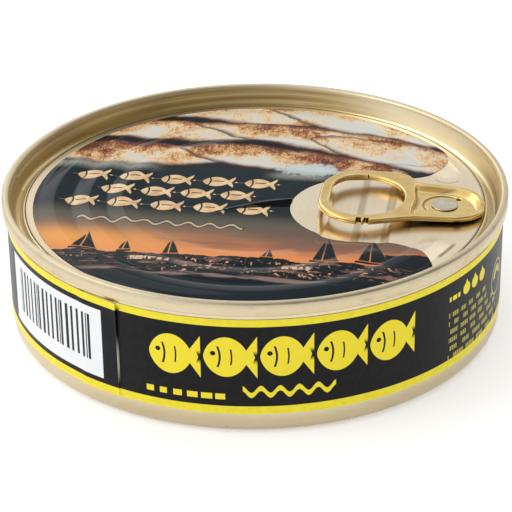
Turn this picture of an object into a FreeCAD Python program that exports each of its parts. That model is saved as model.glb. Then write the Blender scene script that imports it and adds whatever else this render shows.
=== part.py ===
"""Round tin of smoked sprats: drawn steel can, seamed easy-open lid with a ring tab.

Millimetres, +Z up, origin at the centre of the underside.  The ring tab lies along +X.
Each piece is one solid in its own STEP file under parts/.
"""
import FreeCAD, Part
import math
import os
from FreeCAD import Vector

# ---- can ------------------------------------------------------------------------
RIM_HEIGHT = 28.5            # floor to the top of the double seam
SEAM_RADIUS = 51.15          # outside of the double seam
SEAM_THICKNESS = 1.35
SEAM_LENGTH = 3.0            # height of the seam's outer face
SEAM_ROUND = 0.6             # rounding of the seam's two top edges
SEAM_HEM_ROUND = 0.45        # rounding of the seam's lower outer edge
BODY_RADIUS = 50.2
BOTTOM_ROUND = 2.5           # drawn corner between side wall and underside
FOOT_WIDTH = 2.4             # flat ring that the tin stands on
BOTTOM_RECESS = 1.2          # how far the bottom panel is pressed in
BOTTOM_STEP_WIDTH = 1.4
BOTTOM_BEAD_RADIUS = 30.0
BOTTOM_BEAD_WIDTH = 5.0
BOTTOM_BEAD_DEPTH = 0.5

# ---- lid ------------------------------------------------------------------------
SHEET = 0.25                 # steel sheet of the lid
PANEL_HEIGHT = 24.8          # top of the flat panel
PANEL_RADIUS = 46.1          # flat, beaded part of the panel
PANEL_EDGE_RADIUS = 47.1     # where the panel turns down into the groove
GROOVE_FLOOR = 23.6          # floor of the countersink groove
GROOVE_INNER_RADIUS = 47.25
GROOVE_OUTER_RADIUS = 48.75
SCORE_RADIUS = 46.55         # tear line round the panel
SCORE_WIDTH = 0.22
SCORE_DEPTH = 0.1
BEAD_RADII = (40.8, 33.6, 26.8)      # crests of the C-shaped stiffening beads
BEAD_GAP_ANGLES = (20.0, 36.0, 62.0)  # half the gap that each bead leaves round the tab
BEAD_WIDTH = 5.6
BEAD_HEIGHT = 0.4
BOSS_RADIUS = 5.4            # coined pad under the rivet
BOSS_HEIGHT = 0.1

# finger well: a trough across the tab, with a deeper left half
WELL_X = (14.4, 15.3, 21.9, 22.2, 27.3, 28.6)
WELL_DEPTH = (0.0, 0.55, 0.50, 0.27, 0.25, 0.0)
WELL_HALF_LENGTH = 19.0
WELL_END_SLOPE = 2.5

# ---- printed film on the panel ----------------------------------------------------
FILM = 0.1
FILM_RADIUS = 45.3
FILM_CENTRE = (0.35, -0.35)          # stuck on slightly off centre
KEYHOLE_CENTRE = (21.8, -2.1)
KEYHOLE_RADIUS = 14.2
UPPER_HORN = (28.7, 22.05)
LOWER_HORN = (27.3, -27.2)
LOWER_HORN_RADIUS = 10.7
KEYHOLE_REACH = 60.0                 # past the film's edge

# ---- paper label round the side -----------------------------------------------------
PAPER = 0.15
LABEL_LOW = 4.4
LABEL_HIGH = 24.6
LABEL_SEAM_ANGLE = -113.0            # free edge of the overlap
LABEL_OVERLAP_ANGLE = 9.0

# ---- ring tab -------------------------------------------------------------------------
TAB_LEFT = 13.4                      # outer edge of the ring
TAB_NOSE = 46.65
TAB_HEIGHT = 1.22                    # height of the curled edge
RING_HALF_WIDTH = 11.6
RING_CORNER = 8.8
BACK_SHOULDER = ((26.5, 11.6, 8.0), (30.4, 10.8, 1.8), (32.8, 7.8, -1.6))   # x, y, rounding
FRONT_SHOULDER = ((23.6, 11.6, 6.0), (33.5, 7.9, -8.0))    # a hollow corner is negative
NOSE_HALF_WIDTH = 6.9
NOSE_ROUND = 6.8
HOLE_LEFT = 15.6
HOLE_RIGHT = 30.4
HOLE_HALF_WIDTH = 9.0
HOLE_LEFT_CORNER = 6.0
HOLE_RIGHT_CORNER = 8.8
CURL_ROUND = 0.5
HOLE_ROUND = 0.45
POCKET_RIM = 1.5                     # width of the rim round the sunk web
POCKET_LEFT = 32.5
WEB_LOW = 0.12                       # underside and top of the web, above the curl's base
WEB_HIGH = 0.42
NOTCH_X = (22.2, 23.7)               # two nicks where the front curl is gathered
NOTCH_WIDTH = 0.55
NOTCH_DEPTH = 0.8
SLIT_X = 22.3
SLIT_WIDTH = 0.3
TAB_BASE = 25.2                      # underside of the curl at the nose
TAB_TILT = 1.26                      # degrees, ring end up

# ---- tongue and rivet -------------------------------------------------------------------
RIVET_X = 38.4
RIVET_HEAD_RADIUS = 2.6
RIVET_HEAD_HEIGHT = 0.3
RIVET_SHANK_RADIUS = 1.6
RIVET_DISH = 0.08
TONGUE_RADIUS = 4.1
TONGUE_SLOT = 0.35                   # gap of the C-shaped slot
TONGUE_HALF_WIDTH = 2.4              # strip that joins the tongue to the nose
TONGUE_RAMP_X = (40.9, 43.2)
TONGUE_SHEET = 0.3
PILOT_HOLE = (40.95, 3.3, 0.6)       # centre x, y and radius

UP = Vector(0, 0, 1)
ORIGIN = Vector(0, 0, 0)


def on_circle(radius, degrees, z=0.0, centre=(0.0, 0.0)):
    """Point at an angle on a level circle."""
    turn = math.radians(degrees)
    return Vector(centre[0] + radius * math.cos(turn), centre[1] + radius * math.sin(turn), z)


def rounded_edges(corners, closed=True):
    """Straight edges between corners (point, radius), each corner eased by a tangent arc."""
    count = len(corners)
    starts, ends, arcs = [], [], []
    for i, (point, radius) in enumerate(corners):
        inner = closed or 0 < i < count - 1
        if radius <= 0 or not inner:
            starts.append(point)
            ends.append(point)
            arcs.append(None)
            continue
        back = (corners[i - 1][0] - point).normalize()
        ahead = (corners[(i + 1) % count][0] - point).normalize()
        half = math.acos(max(-1.0, min(1.0, back.dot(ahead)))) / 2
        reach = radius / math.tan(half)
        middle = point + (back + ahead).normalize() * (radius / math.sin(half) - radius)
        starts.append(point + back * reach)
        ends.append(point + ahead * reach)
        arcs.append(middle)
    edges = []
    for i in range(count):
        if arcs[i] is not None:
            edges.append(Part.Arc(starts[i], arcs[i], ends[i]).toShape())
        last = not closed and i == count - 1
        following = starts[(i + 1) % count]
        if not last and ends[i].distanceToPoint(following) > 1e-6:
            edges.append(Part.LineSegment(ends[i], following).toShape())
    return edges


def offset_corners(corners, distance):
    """Corners of the parallel line, to the left of the direction of travel."""
    moved = []
    for i, (point, radius) in enumerate(corners):
        ahead = (corners[i + 1][0] - point).normalize() if i + 1 < len(corners) else None
        before = (point - corners[i - 1][0]).normalize() if i else None
        first = before or ahead
        second = ahead or before
        normal_1 = Vector(-first.z, 0, first.x)
        normal_2 = Vector(-second.z, 0, second.x)
        middle = (normal_1 + normal_2).normalize()
        shift = distance / middle.dot(normal_1)
        turn = first.x * second.z - first.z * second.x
        change = -distance if turn > 0 else distance
        moved.append((point + middle * shift, max(radius + change, 0.05) if radius else 0.0))
    return moved


def turned(corners, closed=True):
    """Solid of revolution about Z from rounded corners in the XZ plane."""
    face = Part.Face(Part.Wire(rounded_edges(corners, closed)))
    return face.revolve(ORIGIN, UP, 360)


def rz(radius, height, rounding=0.0):
    return (Vector(radius, 0, height), rounding)


def mirrored_outline(half_corners):
    """Closed outline, symmetric about the X axis, from the corners with y > 0."""
    lower = [(Vector(p.x, -p.y, p.z), r) for p, r in reversed(half_corners)]
    return Part.Wire(rounded_edges(half_corners + lower))


def slab(wire, low, high):
    """Level prism between two heights from a closed wire at z = 0."""
    face = Part.Face(wire)
    face.translate(Vector(0, 0, low))
    return face.extrude(Vector(0, 0, high - low))


# ---- lid sheet ------------------------------------------------------------------------------
def lid_line():
    """Top line of the sheet from the panel, through the groove, to the top of the chuck wall."""
    return [
        rz(PANEL_RADIUS, PANEL_HEIGHT),
        rz(PANEL_EDGE_RADIUS, PANEL_HEIGHT, 0.35),
        rz(GROOVE_INNER_RADIUS, GROOVE_FLOOR, 0.6),
        rz(GROOVE_OUTER_RADIUS, GROOVE_FLOOR, 0.8),
        rz(SEAM_RADIUS - SEAM_THICKNESS, RIM_HEIGHT, SEAM_ROUND),
    ]


def chuck_point(underside, height):
    """Point of the chuck wall's underside at a given height."""
    low, high = underside[3][0], underside[4][0]
    share = (height - low.z) / (high.z - low.z)
    return low + (high - low) * share


def lid_rim():
    """Double seam, chuck wall and groove in one revolved section, with the tear line cut in."""
    top = lid_line()
    under = offset_corners(top, -SHEET)
    hem = RIM_HEIGHT - SEAM_LENGTH
    section = top + [
        rz(SEAM_RADIUS, RIM_HEIGHT, SEAM_ROUND),
        rz(SEAM_RADIUS, hem, SEAM_HEM_ROUND),
        rz(BODY_RADIUS, hem),
        (chuck_point(under, hem), 0.0),
    ] + list(reversed(under[:4]))
    score = turned([
        rz(SCORE_RADIUS - SCORE_WIDTH / 2, PANEL_HEIGHT + 0.01),
        rz(SCORE_RADIUS, PANEL_HEIGHT - SCORE_DEPTH),
        rz(SCORE_RADIUS + SCORE_WIDTH / 2, PANEL_HEIGHT + 0.01),
    ])
    return turned(section).cut(score)


def bead(radius, gap_angle):
    """C-shaped ridge of circular-arc section, domed at both ends."""
    half = BEAD_WIDTH / 2
    base = PANEL_HEIGHT - 0.5
    left = Vector(radius - half, 0, PANEL_HEIGHT)
    crest = Vector(radius, 0, PANEL_HEIGHT + BEAD_HEIGHT)
    right = Vector(radius + half, 0, PANEL_HEIGHT)
    low_right = Vector(radius + half, 0, base)
    low_left = Vector(radius - half, 0, base)
    section = Part.Face(Part.Wire([
        Part.Arc(left, crest, right).toShape(),
        Part.LineSegment(right, low_right).toShape(),
        Part.LineSegment(low_right, low_left).toShape(),
        Part.LineSegment(low_left, left).toShape(),
    ]))
    section.rotate(ORIGIN, UP, gap_angle)
    ridge = section.revolve(ORIGIN, UP, 360 - 2 * gap_angle)
    round_radius = (half ** 2 + BEAD_HEIGHT ** 2) / (2 * BEAD_HEIGHT)
    ball_height = PANEL_HEIGHT + BEAD_HEIGHT - round_radius
    for angle in (gap_angle, -gap_angle):
        end = on_circle(radius, angle)
        ball = Part.makeSphere(round_radius, end + UP * ball_height)
        post = Part.makeCylinder(half, 2.0, end + UP * base)
        ridge = ridge.fuse(ball.common(post))
    return ridge


def finger_well():
    """Trough across the tab: its stepped section is swept along Y, and its ends slope up."""
    line = [Vector(x, 0, PANEL_HEIGHT - d) for x, d in zip(WELL_X, WELL_DEPTH)]
    section = Part.Face(Part.makePolygon(line + [line[0]]))
    trough = section.extrude(Vector(0, 2 * WELL_HALF_LENGTH, 0))
    trough.translate(Vector(0, -WELL_HALF_LENGTH, 0))
    deepest = PANEL_HEIGHT - max(WELL_DEPTH)
    for side in (-1, 1):
        ramp = Part.Face(Part.makePolygon([
            Vector(0, side * WELL_HALF_LENGTH, PANEL_HEIGHT),
            Vector(0, side * (WELL_HALF_LENGTH - WELL_END_SLOPE), deepest),
            Vector(0, side * WELL_HALF_LENGTH, deepest - 1),
            Vector(0, side * (WELL_HALF_LENGTH + 1), PANEL_HEIGHT),
            Vector(0, side * WELL_HALF_LENGTH, PANEL_HEIGHT),
        ])).extrude(Vector(TAB_NOSE, 0, 0))
        trough = trough.cut(ramp)
    return trough


def panel_block():
    """Block whose top is the panel's true surface, down to a level base well below it."""
    depth = 5.0
    block = Part.makeCylinder(PANEL_RADIUS, depth, Vector(0, 0, PANEL_HEIGHT - depth))
    for radius, gap_angle in zip(BEAD_RADII, BEAD_GAP_ANGLES):
        block = block.fuse(bead(radius, gap_angle))
    boss = Part.makeCylinder(BOSS_RADIUS, 1 + BOSS_HEIGHT, Vector(RIVET_X, 0, PANEL_HEIGHT - 1))
    return block.fuse(boss).cut(finger_well()).removeSplitter()


def lowered(shape, distance):
    copy = shape.copy()
    copy.translate(Vector(0, 0, -distance))
    return copy


def make_lid(block):
    panel = block.cut(lowered(block, SHEET))
    return panel.fuse(lid_rim()).removeSplitter()


# ---- can body ---------------------------------------------------------------------------------
def make_body(block):
    """Shut can, solid up to the underside of the lid, with the pressed-in bottom panel."""
    under = offset_corners(lid_line(), -SHEET)
    hem = RIM_HEIGHT - SEAM_LENGTH
    foot_inner = BODY_RADIUS - BOTTOM_ROUND - FOOT_WIDTH
    recess = foot_inner - BOTTOM_STEP_WIDTH
    bead_in = BOTTOM_BEAD_RADIUS - BOTTOM_BEAD_WIDTH / 2
    bead_out = BOTTOM_BEAD_RADIUS + BOTTOM_BEAD_WIDTH / 2
    core_top = PANEL_HEIGHT - 2
    section = [
        rz(0, BOTTOM_RECESS),
        rz(bead_in, BOTTOM_RECESS, 2.0),
        rz(BOTTOM_BEAD_RADIUS, BOTTOM_RECESS - BOTTOM_BEAD_DEPTH, 2.0),
        rz(bead_out, BOTTOM_RECESS, 2.0),
        rz(recess, BOTTOM_RECESS, 0.8),
        rz(foot_inner, 0, 0.8),
        rz(BODY_RADIUS, 0, BOTTOM_ROUND),
        rz(BODY_RADIUS, hem),
        (chuck_point(under, hem), 0.0),
        under[3],
        under[2],
        under[1],
        under[0],
        rz(PANEL_RADIUS, core_top),
        rz(0, core_top),
    ]
    core = lowered(block, SHEET).common(
        Part.makeCylinder(PANEL_RADIUS, 5, Vector(0, 0, core_top - 1)))
    return turned(section).fuse(core).removeSplitter()


# ---- film and label -----------------------------------------------------------------------------
def inner_tangent(centre, radius, other, other_radius, side):
    """Ends of the straight line that touches two circles and crosses between them."""
    gap = Vector(other[0] - centre[0], other[1] - centre[1], 0)
    heading = math.degrees(math.atan2(gap.y, gap.x))
    lean = math.degrees(math.acos((radius + other_radius) / gap.Length)) * side
    return (on_circle(radius, heading + lean, 0, centre),
            on_circle(other_radius, heading + lean + 180, 0, other))


def keyhole():
    """Opening in the film: a round hole that widens between two rounded horns to the edge."""
    horn = Vector(UPPER_HORN[0] - FILM_CENTRE[0], UPPER_HORN[1] - FILM_CENTRE[1], 0)
    horn_angle = math.degrees(math.atan2(horn.y, horn.x))
    horn_radius = FILM_RADIUS - horn.Length
    top_1, top_2 = inner_tangent(KEYHOLE_CENTRE, KEYHOLE_RADIUS, UPPER_HORN, horn_radius, 1)
    low_1, low_2 = inner_tangent(KEYHOLE_CENTRE, KEYHOLE_RADIUS, LOWER_HORN,
                                 LOWER_HORN_RADIUS, -1)
    top_end = on_circle(horn_radius, horn_angle, 0, UPPER_HORN)
    top_side = on_circle(horn_radius, -10, 0, UPPER_HORN)
    low_end = on_circle(LOWER_HORN_RADIUS, 0, 0, LOWER_HORN)
    low_side = on_circle(LOWER_HORN_RADIUS, 45, 0, LOWER_HORN)
    left = on_circle(KEYHOLE_RADIUS, 180, 0, KEYHOLE_CENTRE)
    far_top = on_circle(KEYHOLE_REACH, horn_angle)
    far_low = Vector(KEYHOLE_REACH, low_end.y, 0)
    far = Vector(KEYHOLE_REACH, far_top.y, 0)
    wire = Part.Wire([
        Part.Arc(top_1, left, low_1).toShape(),
        Part.LineSegment(low_1, low_2).toShape(),
        Part.Arc(low_2, low_side, low_end).toShape(),
        Part.LineSegment(low_end, far_low).toShape(),
        Part.LineSegment(far_low, far).toShape(),
        Part.LineSegment(far, far_top).toShape(),
        Part.LineSegment(far_top, top_end).toShape(),
        Part.Arc(top_end, top_side, top_2).toShape(),
        Part.LineSegment(top_2, top_1).toShape(),
    ])
    return slab(wire, PANEL_HEIGHT - 3, PANEL_HEIGHT + 3)


def make_film(block):
    """Printed film that follows the beads, cut out round the tab."""
    disc = Part.makeCylinder(FILM_RADIUS, 6, Vector(*FILM_CENTRE, PANEL_HEIGHT - 3))
    sheet = lowered(block, -FILM).cut(block)
    return sheet.common(disc.cut(keyhole()))


def make_label():
    """Paper band round the side, glued with an overlap."""
    band = [
        rz(BODY_RADIUS, LABEL_LOW),
        rz(BODY_RADIUS + PAPER, LABEL_LOW),
        rz(BODY_RADIUS + PAPER, LABEL_HIGH),
        rz(BODY_RADIUS, LABEL_HIGH),
    ]
    flap = Part.Face(Part.Wire(rounded_edges([
        (p + Vector(PAPER, 0, 0), r) for p, r in band])))
    flap.rotate(ORIGIN, UP, LABEL_SEAM_ANGLE - LABEL_OVERLAP_ANGLE)
    return turned(band).fuse(flap.revolve(ORIGIN, UP, LABEL_OVERLAP_ANGLE)).removeSplitter()


# ---- ring tab --------------------------------------------------------------------------------------
def tab_side(shoulder, inset, sign):
    """Corners of one long side of the tab, from the ring's end to the nose."""
    corners = [(TAB_LEFT + inset, RING_HALF_WIDTH - inset, RING_CORNER - inset)]
    corners += [(x, y - inset, abs(r - inset)) for x, y, r in shoulder]
    corners += [(TAB_NOSE - inset, NOSE_HALF_WIDTH - inset, NOSE_ROUND - inset)]
    return [(Vector(x, sign * y, 0), r) for x, y, r in corners]


def tab_outline(inset=0.0):
    """Outer outline of the tab: wide ring end, shoulders and round nose."""
    back = tab_side(BACK_SHOULDER, inset, 1)
    front = tab_side(FRONT_SHOULDER, inset, -1)
    return Part.Wire(rounded_edges(back + front[::-1]))


def finger_hole():
    return mirrored_outline([
        (Vector(HOLE_LEFT, HOLE_HALF_WIDTH, 0), HOLE_LEFT_CORNER),
        (Vector(HOLE_RIGHT, HOLE_HALF_WIDTH, 0), HOLE_RIGHT_CORNER),
    ])


def eased(shape, outline, heights, rounding):
    """Fillet the level edges that follow one outline at the given heights."""
    chosen = []
    for edge in shape.Edges:
        ends = [vertex.Point for vertex in edge.Vertexes]
        level = any(all(abs(p.z - h) < 1e-4 for p in ends) for h in heights)
        flat = [Part.Vertex(p.x, p.y, 0) for p in ends]
        if level and all(spot.distToShape(outline)[0] < 1e-4 for spot in flat):
            chosen.append(edge)
    return shape.makeFillet(rounding, chosen)


def ring_wall():
    """Round boundary between the ring's inner curl and the sunk web."""
    centre = HOLE_RIGHT - HOLE_RIGHT_CORNER
    return Part.makeCylinder(POCKET_LEFT - centre, 4, Vector(centre, 0, -2))


def make_tab():
    """Sheet tab with curled edges, a sunk web behind the ring and a riveted tongue."""
    faces = (0, TAB_HEIGHT)
    solid = slab(tab_outline(), *faces).cut(slab(finger_hole(), -1, TAB_HEIGHT + 1))
    solid = eased(solid, tab_outline(), faces, CURL_ROUND)
    pierced = eased(solid, finger_hole(), faces, HOLE_ROUND)
    pocket = slab(tab_outline(POCKET_RIM), WEB_HIGH, TAB_HEIGHT + 1).cut(ring_wall())
    hollow = slab(tab_outline(POCKET_RIM), -1, WEB_LOW).cut(ring_wall())
    tab = pierced.cut(pocket).cut(hollow)
    slot = Part.makeCylinder(TONGUE_RADIUS + TONGUE_SLOT, 4, Vector(RIVET_X, 0, -2))
    strip = Part.makeBox(TAB_NOSE, 2 * TONGUE_HALF_WIDTH, 4,
                         Vector(TONGUE_RAMP_X[0] + 1.2, -TONGUE_HALF_WIDTH, -2))
    tab = tab.cut(slot.cut(strip))
    pilot = Part.makeCylinder(PILOT_HOLE[2], 4, Vector(PILOT_HOLE[0], PILOT_HOLE[1], -2))
    tab = tab.cut(pilot)
    for x in NOTCH_X:
        tab = tab.cut(notch(x))
    slit = Part.makeBox(SLIT_WIDTH, 0.7, TAB_HEIGHT + 2,
                        Vector(SLIT_X - SLIT_WIDTH / 2, HOLE_HALF_WIDTH - 0.2, -1))
    tab = tab.cut(slit)
    tab.rotate(Vector(TAB_NOSE, 0, 0), Vector(0, 1, 0), TAB_TILT)
    tab.translate(Vector(0, 0, TAB_BASE))
    return tab.fuse(make_tongue()).removeSplitter()


def notch(x):
    """V-shaped nick in the front curl."""
    tip = -RING_HALF_WIDTH + NOTCH_DEPTH
    outline = Part.makePolygon([
        Vector(x - NOTCH_WIDTH / 2, -RING_HALF_WIDTH - 0.1, 0),
        Vector(x + NOTCH_WIDTH / 2, -RING_HALF_WIDTH - 0.1, 0),
        Vector(x, tip, 0),
        Vector(x - NOTCH_WIDTH / 2, -RING_HALF_WIDTH - 0.1, 0),
    ])
    return slab(outline, -1, TAB_HEIGHT + 1)


def make_tongue():
    """Round tongue that lies on the panel, with a ramp up to the nose's web."""
    low = PANEL_HEIGHT + BOSS_HEIGHT
    slope = math.tan(math.radians(TAB_TILT))
    rise = TAB_BASE + WEB_LOW + (TAB_NOSE - TONGUE_RAMP_X[1]) * slope - low
    side = Part.Face(Part.makePolygon([
        Vector(RIVET_X - TONGUE_RADIUS - 1, 0, low),
        Vector(TONGUE_RAMP_X[0], 0, low),
        Vector(TONGUE_RAMP_X[1], 0, low + rise),
        Vector(TONGUE_RAMP_X[1] + 1, 0, low + rise),
        Vector(TONGUE_RAMP_X[1] + 1, 0, low + rise + TONGUE_SHEET),
        Vector(TONGUE_RAMP_X[1], 0, low + rise + TONGUE_SHEET),
        Vector(TONGUE_RAMP_X[0], 0, low + TONGUE_SHEET),
        Vector(RIVET_X - TONGUE_RADIUS - 1, 0, low + TONGUE_SHEET),
        Vector(RIVET_X - TONGUE_RADIUS - 1, 0, low),
    ]))
    bent = side.extrude(Vector(0, 4 * TONGUE_RADIUS, 0))
    bent.translate(Vector(0, -2 * TONGUE_RADIUS, 0))
    disc = Part.makeCylinder(TONGUE_RADIUS, 4, Vector(RIVET_X, 0, low - 1))
    strip = Part.makeBox(TONGUE_RAMP_X[1] + 1 - RIVET_X, 2 * TONGUE_HALF_WIDTH, 4,
                         Vector(RIVET_X, -TONGUE_HALF_WIDTH, low - 1))
    shank = Part.makeCylinder(RIVET_SHANK_RADIUS, 4, Vector(RIVET_X, 0, low - 1))
    return bent.common(disc.fuse(strip)).cut(shank)


def make_rivet():
    """Flat staked head with a shallow dish, on a shank through the tongue."""
    base = PANEL_HEIGHT + BOSS_HEIGHT
    head = base + TONGUE_SHEET
    top = head + RIVET_HEAD_HEIGHT
    rivet = turned([
        rz(0, base),
        rz(RIVET_SHANK_RADIUS, base),
        rz(RIVET_SHANK_RADIUS, head),
        rz(RIVET_HEAD_RADIUS, head),
        rz(RIVET_HEAD_RADIUS, top, 0.15),
        rz(RIVET_SHANK_RADIUS, top, 0.5),
        rz(RIVET_SHANK_RADIUS * 0.6, top - RIVET_DISH, 0.5),
        rz(0, top - RIVET_DISH),
    ])
    rivet.translate(Vector(RIVET_X, 0, 0))
    return rivet


def main():
    block = panel_block()
    pieces = {
        "can_body": make_body(block),
        "lid": make_lid(block),
        "lid_film": make_film(block),
        "side_label": make_label(),
        "pull_tab": make_tab(),
        "rivet": make_rivet(),
    }
    os.makedirs("parts", exist_ok=True)
    for name, shape in pieces.items():
        solids = shape.Solids
        shape = solids[0] if len(solids) == 1 else shape
        shape.exportStep("parts/%s.step" % name)
        box = shape.BoundBox
        print("%-11s solids %d valid %s volume %.1f  x %.2f..%.2f  y %.2f..%.2f  z %.2f..%.2f" % (
            name, len(solids), shape.isValid(), shape.Volume,
            box.XMin, box.XMax, box.YMin, box.YMax, box.ZMin, box.ZMax))


main()
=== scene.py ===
"""Round tin of smoked sprats with a ring-pull lid, a printed film on the lid and a paper label.

Sizes are in millimetres, +Z is up, the tin stands on z = 0 and the ring tab lies along +X.
"""
import math
import bmesh
import bpy
import numpy as np
from mathutils import Matrix, Vector


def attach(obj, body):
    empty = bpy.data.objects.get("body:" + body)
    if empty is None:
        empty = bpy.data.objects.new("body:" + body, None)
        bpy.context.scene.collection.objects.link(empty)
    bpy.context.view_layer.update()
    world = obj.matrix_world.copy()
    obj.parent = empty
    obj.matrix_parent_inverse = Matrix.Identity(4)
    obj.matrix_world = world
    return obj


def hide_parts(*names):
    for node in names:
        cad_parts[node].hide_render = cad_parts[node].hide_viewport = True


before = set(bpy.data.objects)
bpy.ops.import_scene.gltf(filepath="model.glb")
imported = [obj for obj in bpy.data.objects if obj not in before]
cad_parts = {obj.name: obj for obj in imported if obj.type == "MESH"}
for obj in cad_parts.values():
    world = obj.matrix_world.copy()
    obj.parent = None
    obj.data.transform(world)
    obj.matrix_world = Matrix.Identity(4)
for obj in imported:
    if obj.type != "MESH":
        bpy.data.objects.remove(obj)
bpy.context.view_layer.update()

# ---- can -------------------------------------------------------------------------
# Drawn tinplate cup with a beige-gold lacquer.  Its foot is rounded, and its bottom panel is
# pressed in with one ring bead.  The wall shows above and below the paper label.
BODY_RADIUS = 50.2
FOOT_ROUND = 2.5
FOOT_WIDTH = 2.4
BOTTOM_RECESS = 1.2
BOTTOM_STEP = 1.4
BOTTOM_BEAD = (27.5, 30.0, 32.5, 0.5)     # inner radius, crest radius, outer radius, depth
RIM_HEIGHT = 28.5
SEAM_LENGTH = 3.0
CAN_BEIGE = (216, 203, 174)
STAIN = (-114.4, 25.0)                    # angle and height of a small brown glue stain
DEGREES = 57.2958


def profile(corners, steps=8, longest=1.5):
    """Open line through corners (radius, height, rounding).  A rounded corner becomes the arc that
    touches both its runs; longer runs are divided evenly.  Gives (n, 2) points."""
    spots = np.array([corner[:2] for corner in corners], float)
    points = [spots[0]]
    for i in range(1, len(corners)):
        if i == len(corners) - 1 or corners[i][2] <= 0:
            arc = spots[i][None]
        else:
            back = spots[i - 1] - spots[i]
            ahead = spots[i + 1] - spots[i]
            back = back / np.hypot(*back)
            ahead = ahead / np.hypot(*ahead)
            half = np.arccos(np.clip(back @ ahead, -1, 1)) / 2
            middle = (back + ahead) / np.hypot(*(back + ahead))
            centre = spots[i] + middle * corners[i][2] / np.sin(half)
            reach = corners[i][2] / np.tan(half)
            first = spots[i] + back * reach - centre
            last = spots[i] + ahead * reach - centre
            sweep = np.pi - 2 * half
            t = np.linspace(0, 1, steps + 1)[:, None]
            arc = centre + (np.sin((1 - t) * sweep) * first + np.sin(t * sweep) * last) / np.sin(sweep)
        run = np.hypot(*(arc[0] - points[-1]))
        parts = max(1, int(np.ceil(run / longest)))
        t = np.linspace(0, 1, parts + 1)[1:-1, None]
        points = points + list(points[-1] * (1 - t) + arc[0] * t) + list(arc)
    return np.array(points)


def turned(line, count):
    """Surface of revolution: point (i, j) is (r_i cos a_j, r_i sin a_j, z_i), a_j = 2 pi j / count."""
    angle = np.arange(count) * 2 * np.pi / count
    r = line[:, :1]
    return np.stack([r * np.cos(angle), r * np.sin(angle), line[:, 1:] + 0 * angle], -1)


def put_in(name, node, finish, grids, crease=None):
    """One piece from grids of points (rows, columns, xyz), each with a flag for closed columns.
    Quad (i, j) joins points (i, j), (i, j+1), (i+1, j+1), (i+1, j), so that its outer face looks
    along columns x rows; points that coincide become one."""
    points, faces, count = [], [], 0
    for grid, closed in grids:
        number = count + np.arange(grid.shape[0] * grid.shape[1]).reshape(grid.shape[:2])
        if closed:
            number = np.hstack([number, number[:, :1]])
        quads = [number[:-1, :-1], number[:-1, 1:], number[1:, 1:], number[1:, :-1]]
        faces.append(np.stack(quads, -1).reshape(-1, 4))
        points.append(grid.reshape(-1, 3))
        count += len(points[-1])
    points, faces = np.concatenate(points), np.concatenate(faces)
    mesh = bpy.data.meshes.new(name)
    mesh.vertices.add(len(points))
    mesh.vertices.foreach_set("co", (points * 0.001).astype(np.float32).ravel())
    mesh.loops.add(faces.size)
    mesh.loops.foreach_set("vertex_index", faces.astype(np.int32).ravel())
    mesh.polygons.add(len(faces))
    mesh.polygons.foreach_set("loop_start", np.arange(0, faces.size, 4, dtype=np.int32))
    mesh.update(calc_edges=True)
    skin = bmesh.new()
    skin.from_mesh(mesh)
    bmesh.ops.remove_doubles(skin, verts=skin.verts, dist=3e-7)
    skin.to_mesh(mesh)
    skin.free()
    mesh.validate()
    mesh.shade_smooth()
    if crease:
        mesh.set_sharp_from_angle(angle=math.radians(crease))
    mesh.materials.append(finish)
    piece = bpy.data.objects.new(name, mesh)
    bpy.context.scene.collection.objects.link(piece)
    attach(piece, "root")
    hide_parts(node)


def paint(red, green, blue):
    """Linear colour from screen values 0..255: below 10.3 the value / 3294.6, above it
    ((value / 255 + 0.055) / 1.055) ** 2.4."""
    levels = np.array([red, green, blue]) / 255
    linear = np.where(levels > 0.0404, ((levels + 0.055) / 1.055) ** 2.4, levels / 12.92)
    return (*(float(v) for v in linear), 1.0)


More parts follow.
